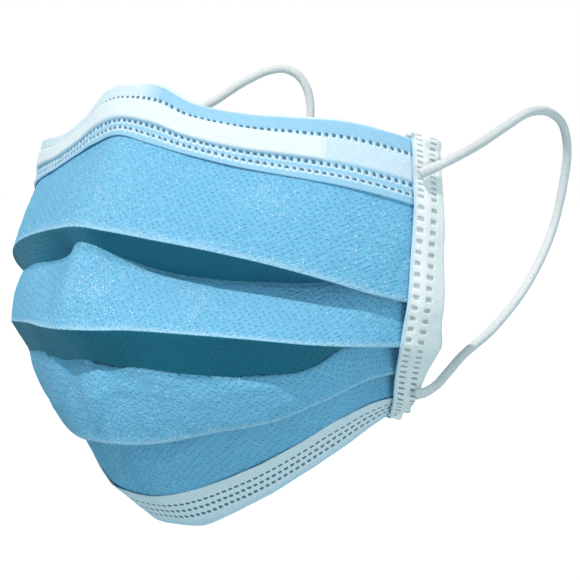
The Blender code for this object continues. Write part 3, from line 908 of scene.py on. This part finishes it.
def build_hem(name, edge, line, rows, dot, finish, swell_depth, white_of):
    """A band folded over an edge: up the outer face, round the edge and down the inner face."""
    shift = seat()
    stations = columns(-HEM_REACH, HEM_REACH, HEM_COLUMNS, 0.0)
    stand = CLOTH / 2 + GAP + HEM_CLOTH / 2
    outside = np.linspace(0.0, 1.0, HEM_OUTER_STEPS)
    inside = np.linspace(0.0, HEM_INSIDE, HEM_INNER_STEPS)
    places = []
    shares = []
    heights = []
    for s in stations:
        tip, tip_drift = line_point(edge, s)
        root, root_drift = line_point(line, s)
        length = np.linalg.norm(tip - root)
        up = (tip - root) / length
        out = turned(up) if tip[1] < root[1] else -turned(up)
        square = min(slant(line, s), slant(edge, s))
        off = stand / square
        ending = smooth_step((WIRE_END - abs(s)) / 0.02) * 0.75 + 0.25
        column = []
        share_column = []
        for share in outside:
            lift = smooth_step((WIRE_HALF + WIRE_EDGE - abs(share - WIRE_LEVEL)) / (1.2 * WIRE_EDGE))
            lift *= swell_depth * ending
            place = root + up * length * share + out * (off + lift)
            column.append(in_space(s, (*place, root_drift + (tip_drift - root_drift) * share)))
            share_column.append(share)
        for angle in HEM_EDGE_ANGLES:
            place = tip + off * (math.cos(angle) * out + math.sin(angle) * up)
            column.append(in_space(s, (*place, tip_drift)))
            share_column.append(1.0)
        for share in inside:
            place = tip - up * length * share - out * off
            column.append(in_space(s, (*place, tip_drift + (root_drift - tip_drift) * share)))
            share_column.append(1.0 - share)
        places.append(np.array(column) - shift)
        shares.append(share_column)
        heights.append([length] * len(column))
    grid = np.array(places)
    shares = np.array(shares)
    heights = np.array(heights)
    across = arc_lengths(grid, 0)
    across = across - across[HEM_COLUMNS // 2]
    line_across = np.repeat(across[:, :1], across.shape[1], axis=1)
    down = arc_lengths(grid, 1)
    levels = [row * heights for row in rows]
    weld = spots(line_across, levels, shares * heights, dot, DOT_PITCH)
    # Painted highlight beside each weld dot, larger than the dot and moved along the hem and down
    dot_highlight_size = (dot[0] * DOT_HIGHLIGHT_GROWTH[0], dot[1] * DOT_HIGHLIGHT_GROWTH[1])
    painted_dot_highlight = spots(line_across - DOT_HIGHLIGHT_SHIFT, levels, shares * heights + DOT_HIGHLIGHT_SHIFT, dot_highlight_size, DOT_PITCH)
    ripple = ripples(across, down, HEM_RIPPLES)
    facing = normals_of(grid)
    if edge == "top":
        facing = -facing
    front = np.zeros_like(shares)
    front[:, :len(outside)] = 1.0
    depth = -DOT_DEPTH * weld
    bend = np.where(front > 0, ripple + HEM_LIFT, -ripple)
    grid = grid + facing * (depth + bend)[:, :, None]
    station_grid = np.repeat(stations[:, None], grid.shape[1], axis=1)
    marks = {"weld": weld, "painted_dot_highlight": painted_dot_highlight * front, "white": white_of(station_grid, shares, front)}
    hem = grid_piece(name, grid, across, down, [finish], HEM_CLOTH, marks, flip=edge == "top")
    return hem


def top_white(s, share, front):
    """White over the wire and its tunnel, and above it by the nose and over the right cheek. By the nose
    this white is a painted highlight, where the top of the hem catches the light; over the right cheek it
    is pale cloth.
    """
    band = eased((WIRE_HALF + WIRE_EDGE - np.abs(share - WIRE_LEVEL)) / (1.4 * WIRE_EDGE))
    beyond = np.where(np.abs(s) > WIRE_END, 0.72, 1.0)
    # Painted highlight on the top of the hem by the nose, running on as pale cloth over the right cheek
    lit_nose_and_pale_cheek = 0.85 * eased((0.16 - s) / 0.14) * eased((share - 0.4) / 0.2)
    outside = np.clip(np.maximum(np.maximum(band * beyond, lit_nose_and_pale_cheek), 0.22), 0.0, 1.0)
    return np.where(front > 0, outside, 0.9)


def bottom_white(_, share, front):
    """Nearly white all over, bluest at the bottom edge."""
    return np.clip(np.where(front > 0, 0.85 - 0.35 * eased((share - 0.75) / 0.25), 0.95), 0.0, 1.0)


def tape_path(s, outside, stand):
    """The tape's path down one side of the edge in the section at s."""
    rollers = rollers_at(s, CAD_FOLD)
    picked = (0, 1, 2, 4, 6, 8, 9) if outside else (0, 1, 3, 5, 7, 8, 9)
    path = [(*rollers[i][0], rollers[i][2]) for i in picked]
    path = stood_off(path, stand if outside else -stand)
    ends = []
    for a, b in ((path[0], path[1]), (path[-1], path[-2])):
        ends.append(a + (a - b) / np.linalg.norm(a[:2] - b[:2]) * TAPE_OVERHANG)
    path = np.vstack((ends[:1], path, ends[1:]))
    fine = spaced(path, TAPE_LENGTH_STEPS)
    weights = np.hanning(TAPE_SOFTNESS)
    weights /= weights.sum()
    pad = TAPE_SOFTNESS // 2
    padded = np.vstack((np.repeat(fine[:1], pad, axis=0), fine, np.repeat(fine[-1:], pad, axis=0)))
    soft = np.stack([np.convolve(padded[:, k], weights, mode="valid") for k in range(3)], axis=1)
    soft[0] = fine[0]
    soft[-1] = fine[-1]
    return spaced(soft, TAPE_LENGTH_STEPS)


def build_tape(name, side, finish):
    """White tape welded round a side edge."""
    shift = seat()
    start = 1.0 - TAPE_WIDTH / math.hypot(HALF_SPAN, DEPTH)
    full = 1.2 * CAD_FOLD + (CAD_CLOTH + CAD_CLEAR) / slant("fold_2", 1.0)
    snug = CAD_FOLD + CLOTH / 2 + HEM_CLOTH + TAPE_CLOTH / 2 + 3 * GAP
    shares = np.linspace(0.0, 1.0, TAPE_WIDTH_STEPS)
    outer_columns = []
    inner_columns = []
    for share in shares:
        s = side * (start + (1 - start) * share)
        stand = snug + (full - snug) * smooth_step(share / 0.5)
        outer_columns.append((s, tape_path(s, True, stand)))
        inner_columns.append((s, tape_path(s, False, stand)))
    s, outer = outer_columns[-1]
    inner = inner_columns[-1][1]
    places = [[in_space(s_now, p) for p in path] for s_now, path in outer_columns]
    wrap = CLOTH + 5 * GAP + np.maximum(side * outer[:, 2], side * inner[:, 2])
    for angle in TAPE_EDGE_ANGLES:
        blend = (1 - math.cos(angle)) / 2
        middle = outer + (inner - outer) * blend
        reach = (1 - math.sin(angle)) * middle[:, 2] + math.sin(angle) * side * wrap
        places.append([in_space(s, (p[0], p[1], r)) for p, r in zip(middle, reach)])
    places += [[in_space(s_now, p) for p in path] for s_now, path in reversed(inner_columns)]
    grid = np.array(places) - shift
    across = arc_lengths(grid, 0)
    down = arc_lengths(grid, 1)
    front = np.arange(len(places)) < TAPE_WIDTH_STEPS
    from_edge = np.where(front[:, None], across, across[-1:] - across)
    phase = np.where(down < CLOSE_LENGTH, 2 * down / WINDOW_PITCH,
                     (down + CLOSE_LENGTH) / WINDOW_PITCH)
    gap = (phase - np.round(phase)) * np.where(down < CLOSE_LENGTH, WINDOW_PITCH / 2, WINDOW_PITCH)
    tall = np.where(down < CLOSE_LENGTH, WINDOW_SIZE[1] * 0.6, WINDOW_SIZE[1])
    weld = np.zeros_like(down)
    for middle in WINDOW_COLUMNS:
        weld = np.maximum(weld, eased(1.5 - (((from_edge - middle) / WINDOW_SIZE[0]) ** 6
                                             + (gap / tall) ** 6)))
    facing = normals_of(grid) * side
    near_end = 1.0 - eased(np.minimum(down, down[:, -1:] - down) / TAPE_CRUMPLED)
    relief = ripples(across, down, TAPE_RIPPLES) + near_end * ripples(across, down, TAPE_CRUMPLES)
    grid = grid + facing * (relief - WINDOW_DEPTH * weld)[:, :, None]
    blue = np.where(front[:, None], 0.6 * eased((0.0010 - from_edge) / 0.0008), 0.0)
    marks = {"weld": weld, "blue": blue, "deep": 0.62 + 0.38 * eased((down - 0.045) / 0.025)}
    tape = grid_piece(name, grid, across, down, [finish], TAPE_CLOTH, marks, flip=side < 0)
    return tape


# Stage


def add_sun(name, light):
    """A distant light: azimuth 0 shines on the front of the mask and 90 on the wearer's left."""
    data = bpy.data.lights.new(name, "SUN")
    data.energy = light["strength"]
    data.angle = math.radians(light["softness"])
    data.color = light["colour"]
    azimuth = math.radians(light["azimuth"])
    elevation = math.radians(light["elevation"])
    lamp = bpy.data.objects.new(name, data)
    towards = Vector((math.sin(azimuth) * math.cos(elevation), -math.cos(azimuth) * math.cos(elevation),
                      math.sin(elevation)))
    lamp.rotation_euler = towards.to_track_quat("Z", "Y").to_euler()
    bpy.context.scene.collection.objects.link(lamp)


def build_stage():
    """A pale floor, soft light from all round, a strong light from above and a weaker one from below.

    The floor takes no part in the light on the mask, so the mask's underside is lit too.
    """
    bpy.ops.mesh.primitive_plane_add(size=8.0, location=(0.0, 0.0, FLOOR_LEVEL))
    floor = bpy.context.object
    floor.name = "floor"
    paint = bpy.data.materials.new("floor_paint")
    paint.use_nodes = True
    shader = paint.node_tree.nodes["Principled BSDF"]
    shader.inputs["Base Color"].default_value = FLOOR_WHITE
    shader.inputs["Roughness"].default_value = 0.9
    shader.inputs["Specular IOR Level"].default_value = 0.1
    shader.inputs["Emission Color"].default_value = (1.0, 1.0, 1.0, 1.0)
    shader.inputs["Emission Strength"].default_value = 0.15
    floor.data.materials.append(paint)
    floor.visible_diffuse = False
    floor.visible_glossy = False
    floor.visible_shadow = False
    build_surroundings()
    add_sun("key", KEY)
    add_sun("low", LOW)
    view = bpy.context.scene.view_settings
    view.view_transform = "Standard"


def build_surroundings():
    """White to the eye. As light it is brightest overhead and dim from below."""
    world = bpy.data.worlds.new("surroundings")
    world.use_nodes = True
    nodes = world.node_tree.nodes
    links = world.node_tree.links
    place = nodes.new("ShaderNodeTexCoord")
    split = nodes.new("ShaderNodeSeparateXYZ")
    links.new(place.outputs["Generated"], split.inputs[0])
    rise = nodes.new("ShaderNodeMapRange")
    rise.inputs["From Min"].default_value = -0.5
    rise.inputs["From Max"].default_value = 0.7
    rise.inputs["To Min"].default_value = FILL_BELOW
    rise.inputs["To Max"].default_value = FILL_ABOVE
    links.new(split.outputs["Z"], rise.inputs["Value"])
    light = nodes["Background"]
    light.inputs["Color"].default_value = FILL_COLOUR
    links.new(rise.outputs[0], light.inputs["Strength"])
    seen = nodes.new("ShaderNodeBackground")
    seen.inputs["Color"].default_value = (1.0, 1.0, 1.0, 1.0)
    path = nodes.new("ShaderNodeLightPath")
    choice = nodes.new("ShaderNodeMixShader")
    links.new(path.outputs["Is Camera Ray"], choice.inputs[0])
    links.new(light.outputs[0], choice.inputs[1])
    links.new(seen.outputs[0], choice.inputs[2])
    links.new(choice.outputs[0], nodes["World Output"].inputs["Surface"])
    bpy.context.scene.world = world


def main():
    add_camera()
    knit = elastic()
    left = build_loop("loop_left", LEFT_LOOP, knit)
    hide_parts("ear_loop_left")
    right = build_loop("loop_right", RIGHT_LOOP, knit)
    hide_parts("ear_loop_right")
    body = build_body([blue_cloth(), white_cloth()])
    top = build_hem("hem_top", "top", "hem", TOP_ROWS, DOT_SIZE, hem_cloth("hem_top_cloth", BLUE_LIGHT),
                    WIRE_SWELL, top_white)
    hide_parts("top_hem", "nose_wire")
    bottom = build_hem("hem_bottom", "bottom", "chin_hem", BOTTOM_ROWS, BOTTOM_DOT_SIZE,
                       hem_cloth("hem_bottom_cloth", PALE), 0.0, bottom_white)
    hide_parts("bottom_hem")
    tape = tape_cloth()
    tape_left = build_tape("tape_left", 1.0, tape)
    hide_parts("side_binding_left")
    tape_right = build_tape("tape_right", -1.0, tape)
    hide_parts("side_binding_right")
    build_stage()


main()
